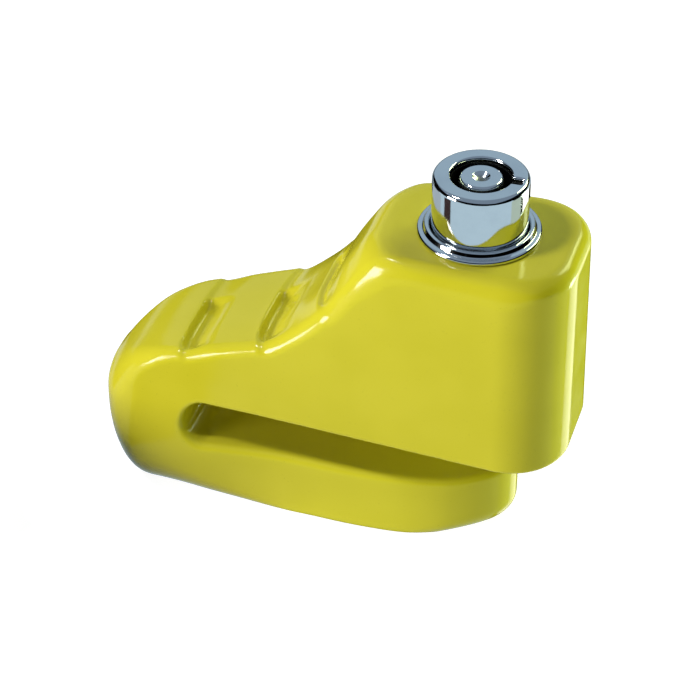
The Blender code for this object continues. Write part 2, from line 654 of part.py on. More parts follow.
def build_lock():
    clear_scene()
    paint = make_material("yellow_paint", PAINT, 0.25, 0.0)
    chrome = make_material("chrome_plate", CHROME, 0.08, 1.0)
    steel = make_material("hardened_steel", STEEL, 0.3, 1.0)
    brass = make_material("brass", BRASS, 0.3, 1.0)
    rubber = make_material("black_rubber", RUBBER, 0.8, 0.0)

    barrel_axis = add_empty("barrel_slide_axis")
    key_axis = add_empty("key_turn_axis", barrel_axis)
    latch_axis = add_empty("latch_slide_axis", barrel_axis)

    build_body(paint)
    build_collar(chrome)
    build_wiper(rubber)
    build_bush(steel)
    build_guide_screw(steel)
    build_return_spring(steel)
    build_barrel(chrome, barrel_axis)
    build_driver_block(brass, barrel_axis)
    build_dowel(steel, barrel_axis)
    build_pin_stacks(brass, steel, barrel_axis, key_axis)
    build_key_plug(chrome, key_axis)
    build_cam(steel, key_axis)
    build_latch_bolt(steel, latch_axis)
    build_base_plug(steel, barrel_axis)
    build_locking_pin(steel, barrel_axis)
    build_cross_pin(steel, barrel_axis)


build_lock()
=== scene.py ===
"""Looks of the disc brake lock: painted casting, chromed barrel and collar, steel and brass works.

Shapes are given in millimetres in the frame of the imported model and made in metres.
The casting is one smooth implicit surface; the round pieces are turned from filleted profiles.
"""
import json
import math

import bpy
import numpy as np
from mathutils import Matrix, Vector


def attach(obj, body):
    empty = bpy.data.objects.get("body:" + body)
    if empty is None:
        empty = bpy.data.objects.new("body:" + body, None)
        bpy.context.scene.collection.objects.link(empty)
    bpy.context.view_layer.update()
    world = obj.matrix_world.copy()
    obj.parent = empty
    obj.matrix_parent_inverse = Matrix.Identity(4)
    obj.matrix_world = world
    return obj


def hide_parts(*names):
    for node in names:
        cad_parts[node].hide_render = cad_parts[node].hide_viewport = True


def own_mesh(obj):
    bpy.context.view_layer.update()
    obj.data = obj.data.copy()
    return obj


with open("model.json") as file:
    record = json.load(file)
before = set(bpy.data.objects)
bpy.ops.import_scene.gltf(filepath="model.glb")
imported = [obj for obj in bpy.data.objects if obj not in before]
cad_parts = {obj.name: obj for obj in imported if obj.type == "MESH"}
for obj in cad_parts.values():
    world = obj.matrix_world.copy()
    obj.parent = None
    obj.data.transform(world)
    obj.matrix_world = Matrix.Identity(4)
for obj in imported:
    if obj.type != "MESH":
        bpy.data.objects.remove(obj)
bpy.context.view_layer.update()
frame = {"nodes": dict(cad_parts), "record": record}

MM = 0.001

# Camera
CAMERA_AZIMUTH = math.radians(17.3)
CAMERA_ELEVATION = math.radians(37.8)
CAMERA_DISTANCE = 0.440
CAMERA_TARGET = Vector((-0.02246, 0.001295, 0.0277))
CAMERA_LENS = 131.143      # mm on a 36 mm sensor

# Light from all round, by height: straight below is 0, the horizon 0.5 and straight above 1.
# The band under the horizon is tinted yellow green: the paint looks greener in it than it is.
SKY = ((0.23, (0.02, 0.02, 0.02)), (0.27, (0.90, 0.97, 0.22)),
       (0.45, (0.90, 0.97, 0.22)), (0.51, (0.03, 0.04, 0.06)))
SKY_STRENGTH = 1.8
LOCK_MIDDLE = Vector((-0.02, 0.0, 0.03))
SOFTBOX_DISTANCE = 0.6
CARD_DISTANCE = 0.4
LEVEL_UP = (0, 0, 1)
LEVEL_DOWN = (0, 0, -1)

# Casting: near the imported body's lines; its roundings, grooves, lean and belly are its own
HALF_WIDTH = 14.8
TAPER = math.tan(math.radians(3.2))
DRAFT = math.tan(math.radians(1.4))
DRAFT_START_Z = 21.5
BODY_TOP = 58.5
HEAD_END = 17.6
END_LEAN = 0.012           # the head's end leans out towards the slot
TAIL_END = -67.3
HEAD_CORNER = 11.0
TAIL_CORNER = 10.8
TAIL_BEND_X = -51.0        # where the tail begins to round over, above and below its middle
TAIL_BASE_BEND_X = -55.0
WAIST_Z = 17.0             # middle height of the rounded tail
BEND_BLEND = 5.0           # half the height over which the two bends blend into one another
OVAL_RADIUS = 10.0         # the head's level top ends towards the tail in an oval
OVAL_X = -6.0
OVAL_FLAT = 3.5
FLANK = ((-2.0, 58.5), (0.0, 58.1), (1.6, 56.9), (4.3, 53.0), (7.6, 47.5), (10.8, 43.2), (13.3, 40.4),
         (15.5, 38.4), (18.0, 36.6), (20.4, 35.5), (23.2, 34.5), (26.2, 33.4), (30.0, 32.0), (34.0, 30.7),
         (37.0, 29.7), (40.0, 28.7), (43.0, 27.6), (48.0, 25.0))
GROOVES = ((9.2, 1.3, 3.5), (19.6, 2.0, 6.0), (33.4, 2.0, 6.0))   # steep wall's place, depth, length
GROOVE_WALL = 1.3          # run of the steep wall, on the tail side of each groove
GROOVE_FRONT_Y = -9.6      # the grooves stop short of the front edge and just behind the middle
GROOVE_BACK_Y = 3.6
GROOVE_END = 1.2           # half the run over which they rise at their ends
GROOVE_TRACE = 0.25        # share of their depth that goes on across the whole grip
SLOT_FLOOR = 12.7
SLOT_ROOF = 20.9
SLOT_END_X = -44.4
JAW_END = 8.3
JAW_TAPER_LENGTH = 31.0
JAW_HALF_WIDTH = 14.4
JAW_CORNER = 5.0
JAW_BLEND_X = (-46.0, -24.0)   # where the jaw's own plan takes over from the tail's
TAIL_BELLY = 2.4           # swelling low on the tail, where it grows in along X and up Z
BELLY_X = (-30.0, -56.0)
BELLY_Z = (25.0, 9.0)
TOP_EDGE = 1.9             # roundings of the long edges, each with the X range over which it sets in
HEAD_TOP_EDGE = 2.9
HEAD_EDGE_X = (-20.0, -8.0)
TAIL_TOP_EDGE = 4.5
TAIL_TOP_EDGE_X = (-50.0, -62.0)
BASE_EDGE = 1.4
TAIL_BASE_EDGE = 8.0
TAIL_BASE_EDGE_X = (-28.0, -54.0)
JAW_BASE_EDGE = 4.2
JAW_BASE_EDGE_X = (-10.0, 4.0)
WAIST_BLEND = 10.0         # half the height over which an upper rounding turns into the lower one
SLOT_FLOOR_LIP = 1.3
SLOT_ROOF_LIP = 0.6
SLOT_LIP_BLEND = (-2.0, 3.0)   # heights about the slot's middle between which one turns into the other
BODY_STEP = 0.45           # spacing of the casting's mesh
BODY_LOW = (-68.5, -16.5, -1.0)   # box that the casting is found in
BODY_HIGH = (19.0, 16.5, 60.0)

# Heights shared by the works, with the barrel raised
STROKE = 9.6
PIN_TIP = 21.5
BORE_FLOOR = 25.5
BUSH_TOP = 26.5
BARREL_BOTTOM = 36.4
PLUG_SEAT = 41.5
SCREW_Z = 42.5
CROSS_PIN_Z = 43.5
PIN_HEAD = 45.2
BOLT_BOTTOM = 46.7
BOLT_TOP = 49.1
SPINDLE_BOTTOM = 51.7
SEAL_SEAT = 52.1
DOWEL_Z = 55.5
SHEAR_TOP = 59.4
PLUG_TOP = 63.8
KEYWAY_FLOOR = 64.1
POST_TOP = 69.1
BARREL_TOP = 69.4

# Barrel, bore and trim
BORE_RADIUS = 8.25
SEAL_SEAT_RADIUS = 9.5
BARREL_RADIUS = 7.95
BARREL_INSIDE = 6.3
RIM_RADIUS = 0.9
COLLAR_FOOT = 54.4
COLLAR_SPIGOT = 9.2
COLLAR_RADIUS = 10.25
COLLAR_BORE = 8.12
LIP_RADIUS = 9.3           # the collar's low inner lip
KEYWAY_RADIUS = 5.0
NOTCH_HALF_WIDTH = 0.8
NOTCH_REACH = 6.8
POST_RADIUS = 3.6
FLANGE_RADIUS = 6.0
PIN_COUNT = 7
PIN_CIRCLE = 4.3
PIN_HOLE = 0.85
DOWEL_ANGLE = math.radians(5.5 * 360 / PIN_COUNT)
PIN_SHANK = 3.0
CROSS_HOLE = 1.1


# ---------------------------------------------------------------- meshes

def make_object(name, vertices, faces, body, slot_name):
    """A mesh object, vertices in mm, that rides on a body when one is given; slot_name is not used."""
    mesh = bpy.data.meshes.new(name)
    mesh.from_pydata((np.asarray(vertices, float) * MM).tolist(), [], [list(face) for face in faces])
    mesh.update()
    item = bpy.data.objects.new(name, mesh)
    bpy.context.scene.collection.objects.link(item)
    if body is not None:
        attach(item, body)
    return item


def smooth(item, angle=38.0):
    item.data.shade_smooth()
    item.data.set_sharp_from_angle(angle=math.radians(angle))


def filleted(corners, steps=6):
    """Round each corner (r, z, radius) of a closed profile; radius 0 leaves it sharp."""
    points = []
    for index, (r, z, radius) in enumerate(corners):
        corner = np.array((r, z))
        before = np.array(corners[index - 1][:2]) - corner
        after = np.array(corners[(index + 1) % len(corners)][:2]) - corner
        if radius <= 0:
            points.append((r, z))
            continue
        before, after = before / np.linalg.norm(before), after / np.linalg.norm(after)
        half = math.acos(float(np.clip(before @ after, -1, 1))) / 2
        middle = (before + after) / np.linalg.norm(before + after)
        centre = corner + middle * radius / math.sin(half)
        start = corner + before * radius / math.tan(half) - centre
        end = corner + after * radius / math.tan(half) - centre
        sweep = math.pi - 2 * half
        for step in range(steps + 1):
            share = step / steps
            point = math.sin((1 - share) * sweep) * start + math.sin(share * sweep) * end
            points.append(tuple(centre + point / math.sin(sweep)))
    return points


def turned_mesh(rings, angles):
    """Vertices and faces of a closed turned form; rings give (radius or radii by angle, z)."""
    columns = len(angles)
    vertices, starts = [], []
    for radius, z in rings:
        radii = np.broadcast_to(np.asarray(radius, float), (columns,))
        starts.append((len(vertices), radii.max() < 1e-6))
        if radii.max() < 1e-6:
            vertices.append((0.0, 0.0, z))
        else:
            vertices += list(zip(radii * np.cos(angles), radii * np.sin(angles), [z] * columns))
    faces = []
    for (first, first_pole), (second, second_pole) in zip(starts, starts[1:] + starts[:1]):
        if first_pole and second_pole:
            continue
        for column in range(columns):
            after = (column + 1) % columns
            if first_pole:
                faces.append((first, second + after, second + column))
            elif second_pole:
                faces.append((first + column, first + after, second))
            else:
                faces.append((first + column, first + after, second + after, second + column))
    return vertices, faces


def round_angles(columns):
    return np.arange(columns) * math.tau / columns


def turned(name, profile, body, slot_name, columns=96, steps=6):
    """A round piece about Z from a closed profile that runs anticlockwise in the (r, z) half plane."""
    item = make_object(name, *turned_mesh(filleted(profile, steps), round_angles(columns)), body, slot_name)
    smooth(item)
    return item


def tool(vertices, faces, location=(0, 0, 0), rotation=(0, 0, 0)):
    """A cutter, which carve() uses up."""
    item = make_object("cutter", vertices, faces, None, None)
    item.location = Vector(location) * MM
    item.rotation_euler = rotation
    return item


def round_tool(profile, location=(0, 0, 0), rotation=(0, 0, 0), columns=64):
    return tool(*turned_mesh(filleted(profile), round_angles(columns)), location, rotation)


def box_tool(low, high):
    (x0, y0, z0), (x1, y1, z1) = low, high
    corners = [(x0, y0, z0), (x1, y0, z0), (x1, y1, z0), (x0, y1, z0),
               (x0, y0, z1), (x1, y0, z1), (x1, y1, z1), (x0, y1, z1)]
    faces = [(3, 2, 1, 0), (4, 5, 6, 7), (0, 1, 5, 4), (1, 2, 6, 5), (2, 3, 7, 6), (3, 0, 4, 7)]
    return tool(corners, faces)


def slot_tool(radius, low_z, high_z, low_y, high_y, steps=16):
    """A round-ended slot upright in the XZ plane, cut along Y."""
    arcs = [(high_z, angle) for angle in np.linspace(0, math.pi, steps)]
    arcs += [(low_z, angle) for angle in np.linspace(math.pi, math.tau, steps)]
    outline = [(radius * math.cos(angle), z + radius * math.sin(angle)) for z, angle in arcs]
    count = len(outline)
    corners = [(x, low_y, z) for x, z in outline] + [(x, high_y, z) for x, z in outline]
    faces = [tuple(range(count)), tuple(range(2 * count - 1, count - 1, -1))]
    for index in range(count):
        after = (index + 1) % count
        faces.append((index, index + count, after + count, after))
    return tool(corners, faces)


def carve(item, cutters, angle=38.0):
    """Cut the tools out of the piece for good and remove them."""
    for cutter in cutters:
        modifier = item.modifiers.new("cut", "BOOLEAN")
        modifier.operation = "DIFFERENCE"
        modifier.solver = "EXACT"
        modifier.object = cutter
    graph = bpy.context.evaluated_depsgraph_get()
    carved = bpy.data.meshes.new_from_object(item.evaluated_get(graph), depsgraph=graph)
    item.modifiers.clear()
    old = item.data
    item.data = carved
    bpy.data.meshes.remove(old)
    for cutter in cutters:
        mesh = cutter.data
        bpy.data.objects.remove(cutter, do_unlink=True)
        bpy.data.meshes.remove(mesh)
    smooth(item, angle)


# ---------------------------------------------------------------- the casting as an implicit surface

def round_max(a, b, radius):
    """Both conditions at once, with their common edge rounded to the radius."""
    outside = np.hypot(np.maximum(a + radius, 0), np.maximum(b + radius, 0))
    return np.minimum(np.maximum(a, b), -radius) + outside


def spline(points, x):
    """Smooth curve through the points, its slopes weighted by the neighbouring spans."""
    px, pz = np.array(points, float).T
    span = np.diff(px)
    slope = np.diff(pz) / span
    tangent = np.concatenate([slope[:1], (slope[:-1] * span[1:] + slope[1:] * span[:-1])
                              / (span[:-1] + span[1:]), slope[-1:]])
    x = np.clip(x, px[0], px[-1])
    i = np.clip(np.searchsorted(px, x, side="right") - 1, 0, len(span) - 1)
    t = (x - px[i]) / span[i]
    return ((2 * t ** 3 - 3 * t ** 2 + 1) * pz[i] + (t ** 3 - 2 * t ** 2 + t) * span[i] * tangent[i]
            + (3 * t ** 2 - 2 * t ** 3) * pz[i + 1] + (t ** 3 - t ** 2) * span[i] * tangent[i + 1])


def ramp(start, end, x):
    t = np.clip((x - start) / (end - start), 0, 1)
    return t * t * (3 - 2 * t)


def top_height(x, y):
    """The head's level top, then a fall that runs round its oval to the grip and its finger grooves."""
    reach = np.hypot(np.maximum(np.abs(y) - OVAL_FLAT, 0), np.maximum(OVAL_X - x, 0)) - OVAL_RADIUS
    within = ramp(GROOVE_FRONT_Y - GROOVE_END, GROOVE_FRONT_Y + GROOVE_END, y)
    within = within * ramp(GROOVE_BACK_Y + GROOVE_END, GROOVE_BACK_Y - GROOVE_END, y)
    share = GROOVE_TRACE + (1 - GROOVE_TRACE) * within
    height = spline(FLANK, reach)
    for wall, depth, length in GROOVES:
        inward = wall - reach
        groove = ramp(-GROOVE_WALL / 2, GROOVE_WALL / 2, inward) * ramp(length, 0.3, inward)
        height = height - share * depth * groove
    return height


def side_view(x, y, z):
    """Negative inside the outline seen from the side; the tail is rounded over like an ellipse."""
    top = top_height(x, y)
    upper = ramp(WAIST_Z - BEND_BLEND, WAIST_Z + BEND_BLEND, z)
    bend_x = TAIL_BASE_BEND_X + (TAIL_BEND_X - TAIL_BASE_BEND_X) * upper
    tail = np.maximum((bend_x - x) / (bend_x - TAIL_END), 0)
    rise = np.where(z > WAIST_Z, (z - WAIST_Z) / (top - WAIST_Z), (WAIST_Z - z) / WAIST_Z)
    return (np.hypot(tail, rise) - 1) * WAIST_Z


def tapered_sides(x, y, z):
    """Both sides draw in towards the tail and the top, and swell a little low on the tail."""
    belly = TAIL_BELLY * ramp(*BELLY_X, x) * ramp(*BELLY_Z, z)
    return np.abs(y) - (HALF_WIDTH + TAPER * x - DRAFT * (z - DRAFT_START_Z) + belly)


def head_plan(x, y, z):
    end = x - HEAD_END - END_LEAN * (BODY_TOP - z)
    plan = round_max(tapered_sides(x, y, z), end, HEAD_CORNER)
    return round_max(plan, TAIL_END - x, TAIL_CORNER)


def jaw_plan(x, y, z):
    """The jaw below the slot is shorter and ends in half an ellipse."""
    along = np.maximum(x - JAW_END + JAW_TAPER_LENGTH, 0) / JAW_TAPER_LENGTH
    ellipse = (np.hypot(along, y / JAW_HALF_WIDTH) - 1) * JAW_HALF_WIDTH
    sides = tapered_sides(x, y, z)
    plan = sides + (round_max(sides, ellipse, JAW_CORNER) - sides) * ramp(*JAW_BLEND_X, x)
    return round_max(plan, TAIL_END - x, TAIL_CORNER)


def true_distance(shape, x, y, z, step=0.02):
    """Divide a shape's value by its slope, so that roundings keep their radius."""
    slope_x = (shape(x + step, y, z) - shape(x - step, y, z)) / (2 * step)
    slope_y = (shape(x, y + step, z) - shape(x, y - step, z)) / (2 * step)
    slope_z = (shape(x, y, z + step) - shape(x, y, z - step)) / (2 * step)
    slope = np.sqrt(slope_x ** 2 + slope_y ** 2 + slope_z ** 2)
    return shape(x, y, z) / np.maximum(slope, 0.25)


def edge_radius(x, z):
    """Rounding of the long edges: softer on the head, at the tail and under the jaw's end."""
    top = TOP_EDGE + (HEAD_TOP_EDGE - TOP_EDGE) * ramp(*HEAD_EDGE_X, x)
    top = top + (TAIL_TOP_EDGE - TOP_EDGE) * ramp(*TAIL_TOP_EDGE_X, x)
    base = BASE_EDGE + (TAIL_BASE_EDGE - BASE_EDGE) * ramp(*TAIL_BASE_EDGE_X, x)
    base = base + (JAW_BASE_EDGE - BASE_EDGE) * ramp(*JAW_BASE_EDGE_X, x)
    return base + (top - base) * ramp(WAIST_Z - WAIST_BLEND, WAIST_Z + WAIST_BLEND, z)


def casting(x, y, z):
    """Signed distance, nearly, to the casting without its drilled holes."""
    middle = (SLOT_FLOOR + SLOT_ROOF) / 2
    plan = np.where(z > middle, true_distance(head_plan, x, y, z), true_distance(jaw_plan, x, y, z))
    solid = round_max(true_distance(side_view, x, y, z), plan, edge_radius(x, z))
    slot = np.hypot(np.minimum(x - SLOT_END_X, 0), z - middle) - (SLOT_ROOF - SLOT_FLOOR) / 2
    lip = SLOT_FLOOR_LIP + (SLOT_ROOF_LIP - SLOT_FLOOR_LIP) * ramp(*SLOT_LIP_BLEND, z - middle)
    return round_max(solid, -slot, lip)


def gradient(points, step=0.02):
    x, y, z = points.T
    return np.stack([casting(x + step, y, z) - casting(x - step, y, z),
                     casting(x, y + step, z) - casting(x, y - step, z),
                     casting(x, y, z + step) - casting(x, y, z - step)], 1) / (2 * step)


def settle(points, limit):
    """Move points onto the surface, no further than the limit."""
    slope = gradient(points)
    move = -casting(*points.T)[:, None] * slope / np.maximum((slope ** 2).sum(1), 0.05)[:, None]
    length = np.linalg.norm(move, axis=1)[:, None]
    return points + move * np.minimum(1, limit / np.maximum(length, 1e-9))


def surface_net(values, low, step):
    """One vertex in each grid cell that the surface crosses, one quad for each grid edge it crosses."""
    cells = tuple(count - 1 for count in values.shape)
    total, hits = np.zeros((*cells, 3)), np.zeros(cells)

    def corner(offset):
        return values[tuple(slice(o, o + count) for o, count in zip(offset, cells))]

    for axis in range(3):
        others = [other for other in range(3) if other != axis]
        for shift in ((0, 0), (0, 1), (1, 0), (1, 1)):
            start = [0, 0, 0]
            start[others[0]], start[others[1]] = shift
            end = list(start)
            end[axis] = 1
            first, second = corner(start), corner(end)
            crossed = (first < 0) != (second < 0)
            share = np.where(crossed, first / np.where(crossed, first - second, 1), 0)
            for part in range(3):
                total[..., part] += crossed * (share if part == axis else start[part])
            hits += crossed
    used = hits > 0
    index = np.full(cells, -1)
    index[used] = np.arange(used.sum())
    vertices = np.array(low) + (np.argwhere(used) + total[used] / hits[used][:, None]) * step
    quads = []
    for axis in range(3):
        field, cell = np.moveaxis(values, axis, 0), np.moveaxis(index, axis, 0)
        crossed = ((field[:-1] < 0) != (field[1:] < 0))[:, 1:-1, 1:-1]
        i, j, k = np.nonzero(crossed)
        j, k = j + 1, k + 1
        quad = np.stack([cell[i, j - 1, k - 1], cell[i, j, k - 1], cell[i, j, k], cell[i, j - 1, k]], 1)
        outward = (field[i, j, k] < 0) != (axis == 1)
        quad[~outward] = quad[~outward][:, ::-1]
        quads.append(quad)
    return vertices, np.concatenate(quads)


def relax(vertices, quads, step):
    """Even out the net along the surface."""
    here = quads.ravel()
    sides = (np.roll(quads, 1, axis=1).ravel(), np.roll(quads, -1, axis=1).ravel())
    count = len(vertices)
    share = np.bincount(here, minlength=count) * 2.0
    for _ in range(4):
        around = [sum(np.bincount(here, weights=vertices[side, part], minlength=count) for side in sides)
                  for part in range(3)]
        vertices = settle(vertices + 0.5 * (np.stack(around, 1) / share[:, None] - vertices), 0.7 * step)
    for _ in range(2):
        vertices = settle(vertices, 0.5 * step)
    return vertices


def bend(points, reach=0.35):
    """How sharply the surface bends outward at each point, 1 / mm."""
    normal = gradient(points)
    normal /= np.maximum(np.linalg.norm(normal, axis=1), 1e-9)[:, None]
    total = -6 * casting(*points.T)
    for axis in range(3):
        shift = np.zeros(3)
        shift[axis] = reach
        total += casting(*(points + shift).T) + casting(*(points - shift).T)
    return total / reach ** 2


def cross_hole(half_length):
    """Cutter for the pin that runs along X through the barrel and the locking pin."""
    profile = [(0, -half_length, 0), (CROSS_HOLE, -half_length, 0), (CROSS_HOLE, half_length, 0),
               (0, half_length, 0)]
    return round_tool(profile, (0, 0, CROSS_PIN_Z), (0, math.radians(90), 0), columns=32)


def body_casting():
    """The painted body: the casting's surface with the bore, pin holes, screw hole and latch grooves."""
    axes = [np.arange(start, end + BODY_STEP, BODY_STEP) for start, end in zip(BODY_LOW, BODY_HIGH)]
    grid = np.meshgrid(*axes, indexing="ij")
    values = casting(*(part.ravel() for part in grid)).reshape(grid[0].shape)
    vertices, quads = surface_net(values, BODY_LOW, BODY_STEP)
    vertices = relax(vertices, quads, BODY_STEP)
    item = make_object("painted_casting", vertices, quads, "body", "yellow_paint")
    worn = item.data.attributes.new("edge", "FLOAT", "POINT")
    worn.data.foreach_set("value", np.clip((bend(vertices) - 0.1) / 0.5, 0, 1).astype(np.float32))

    middle = (SLOT_FLOOR + SLOT_ROOF) / 2
    above = BODY_TOP + 5
    bevel = 0.4
    bore = [(0, BORE_FLOOR, 0), (BORE_RADIUS, BORE_FLOOR, bevel), (BORE_RADIUS, SEAL_SEAT, 0.1),
            (SEAL_SEAT_RADIUS, SEAL_SEAT, 0.1), (SEAL_SEAT_RADIUS, above, 0), (0, above, 0)]
    bush_radius = 4.8
    bush_hole = [(0, middle, 0), (bush_radius + bevel, middle, 0), (bush_radius + bevel, SLOT_ROOF, 0),
                 (bush_radius, SLOT_ROOF + bevel, 0), (bush_radius, BORE_FLOOR + 1, 0),
                 (0, BORE_FLOOR + 1, 0)]
    socket_radius, socket_floor = 3.4, SLOT_FLOOR - 4.0
    pin_socket = [(0, socket_floor, 0), (socket_radius, socket_floor, 0.6),
                  (socket_radius, SLOT_FLOOR - bevel, 0), (socket_radius + bevel, SLOT_FLOOR, 0),
                  (socket_radius + bevel, middle, 0), (0, middle, 0)]
    screw_radius, screw_start, screw_sink, outside = 2.3, 7.0, 13.4, 20.0
    screw_hole = [(0, screw_start, 0), (screw_radius, screw_start, 0), (screw_radius, screw_sink, 0),
                  (screw_radius + 2, screw_sink + 2, 0), (screw_radius + 2, outside, 0), (0, outside, 0)]
    latch_half, latch_far, latch_near, latch_play = 3.1, -10.0, -7.25, 0.4
    cutters = [
        round_tool(bore, columns=96),
        round_tool(bush_hole),
        round_tool(pin_socket),
        round_tool(screw_hole, (0, 0, SCREW_Z), (math.radians(-90), 0, 0)),
        box_tool((latch_far, -latch_half, BOLT_BOTTOM - latch_play),
                 (latch_near, latch_half, SEAL_SEAT + 1)),
        box_tool((latch_far, -latch_half, BOLT_BOTTOM - STROKE - latch_play),
                 (latch_near, latch_half, BOLT_TOP - STROKE + latch_play)),
    ]
    carve(item, cutters, 42.0)
    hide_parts("lock_body")
    return item


# ---------------------------------------------------------------- turned and milled pieces

def trim_collar():
    """Chromed ring: a broad rim on the casting, then a low lip round the barrel."""
    seat = BODY_TOP + 0.02
    profile = [(COLLAR_BORE, COLLAR_FOOT, 0.1), (COLLAR_SPIGOT, COLLAR_FOOT, 0.2), (COLLAR_SPIGOT, seat, 0),
               (COLLAR_RADIUS, seat, 0.2), (COLLAR_RADIUS, seat + 0.75, 0.45),
               (LIP_RADIUS, seat + 0.95, 0.3), (LIP_RADIUS - 0.3, seat + 1.65, 0.3),
               (LIP_RADIUS - 0.9, seat + 1.75, 0.3),
               (COLLAR_BORE, seat + 1.3, 0.1)]
    item = turned("trim_collar", profile, "body", "chrome", columns=160)
    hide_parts("bezel_collar")
    return item


def keyway_radii(angles, grow):
    """Radius of the keyway's edge by angle: a circle with one square notch, grown by a margin."""
    circle = np.full(len(angles), KEYWAY_RADIUS + grow)
    ahead = np.cos(angles) > 0.2
    power = 14.0
    end = (NOTCH_REACH + grow) / np.maximum(np.cos(angles), 0.2)
    wall = (NOTCH_HALF_WIDTH + grow) / np.maximum(np.abs(np.sin(angles)), 1e-3)
    notch = (end ** -power + wall ** -power) ** (-1 / power)
    return np.where(ahead, np.maximum(circle, notch), circle)


def barrel():
    """The push-down tube: rounded rim, bevelled keyway with its notch, window and guide slot."""
    fine = np.radians(np.linspace(-15, 15, 97))
    coarse = np.radians(np.linspace(15, 345, 133))[1:-1]
    angles = np.concatenate([fine, coarse])
    outside = filleted([(BARREL_INSIDE, BARREL_BOTTOM, 0), (BARREL_RADIUS, BARREL_BOTTOM, 0.4),
                        (BARREL_RADIUS, BARREL_TOP, RIM_RADIUS), (6.2, BARREL_TOP, 0)], 10)[:-1]
    bevel = [(0.38, 0.0), (0.26, -0.04), (0.1, -0.17), (0.02, -0.32), (0.0, -0.48)]
    keyway = keyway_radii(angles, 0.0)
    rings = outside + [(keyway_radii(angles, grow), BARREL_TOP + drop) for grow, drop in bevel]
    rings += [(keyway, KEYWAY_FLOOR), (np.maximum(keyway, BARREL_INSIDE), KEYWAY_FLOOR - 0.01),
              (BARREL_INSIDE, KEYWAY_FLOOR - 1.0)]
    item = make_object("barrel_shell", *turned_mesh(rings, angles), "barrel", "chrome")
    window_half, slot_half, dowel_radius, dowel_start = 2.8, 1.3, 1.0, 5.0
    dowel_place = (dowel_start * math.cos(DOWEL_ANGLE), dowel_start * math.sin(DOWEL_ANGLE), DOWEL_Z)
    cutters = [
        box_tool((-9.0, -window_half, BOLT_BOTTOM - 0.3), (-5.3, window_half, BOLT_TOP + 0.3)),
        slot_tool(slot_half, SCREW_Z, SCREW_Z + STROKE, 6.85, 9.0),
        cross_hole(11.0),
        round_tool([(0, 0, 0), (dowel_radius, 0, 0), (dowel_radius, 4, 0), (0, 4, 0)], dowel_place,
                   (math.radians(90), 0, DOWEL_ANGLE + math.radians(90))),
    ]
    carve(item, cutters)
    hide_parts("plunger_barrel")
    return item


def key_post():
    """The turning flange with the centre post that the tubular key fits over."""
    tail, spindle = 1.9, 2.6
    profile = [(0, SPINDLE_BOTTOM - 1.2, 0), (tail, SPINDLE_BOTTOM - 1.2, 0.1), (tail, SPINDLE_BOTTOM, 0),
               (spindle, SPINDLE_BOTTOM, 0.1), (spindle, SHEAR_TOP, 0.1), (FLANGE_RADIUS, SHEAR_TOP, 0),
               (FLANGE_RADIUS, PLUG_TOP, 0.15), (POST_RADIUS, PLUG_TOP, 0.1), (POST_RADIUS, POST_TOP, 0.62),
               (1.5, POST_TOP, 0.2), (0.6, POST_TOP - 0.7, 0.25), (0, POST_TOP - 0.8, 0)]
    item = make_object("key_post", *turned_mesh(filleted(profile, 8), round_angles(96)), "plug", "chrome")
    hole = [(0, SHEAR_TOP - 1, 0), (PIN_HOLE, SHEAR_TOP - 1, 0), (PIN_HOLE, PLUG_TOP - 0.1, 0),
            (PIN_HOLE + 0.1, PLUG_TOP + 0.2, 0), (0, PLUG_TOP + 0.2, 0)]
    holes = []
    for index in range(PIN_COUNT):
        angle = math.tau * index / PIN_COUNT
        place = (PIN_CIRCLE * math.cos(angle), PIN_CIRCLE * math.sin(angle), 0)
        holes.append(round_tool(hole, place, columns=24))
    carve(item, holes)
    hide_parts("key_plug")
    return item


def lock_pin():
    """The hardened pin that drops across the slot."""
    profile = [(0, PIN_TIP, 0), (PIN_SHANK - 0.65, PIN_TIP, 0.35), (PIN_SHANK, PIN_TIP + 0.75, 0.3),
               (PIN_SHANK, PIN_HEAD, 0.2), (0, PIN_HEAD, 0)]
    item = make_object("lock_pin", *turned_mesh(filleted(profile), round_angles(72)), "barrel", "steel")
    carve(item, [cross_hole(5.0)])
    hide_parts("locking_pin")
    return item


def guide_bush():
    """Flanged bush in the upper jaw; the locking pin slides in it and the spring stands on it."""
    hole, outside, flange = 3.3, 4.5, 6.0
    foot, seat = SLOT_ROOF + 0.3, BORE_FLOOR + 0.3
    profile = [(hole, foot, 0.15), (outside, foot, 0.25), (outside, seat, 0),
               (flange, seat, 0.1), (flange, BUSH_TOP, 0.2), (hole, BUSH_TOP, 0.2)]
    item = turned("guide_bush", profile, "body", "steel", columns=72)
    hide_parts("pin_guide_bush")
    return item


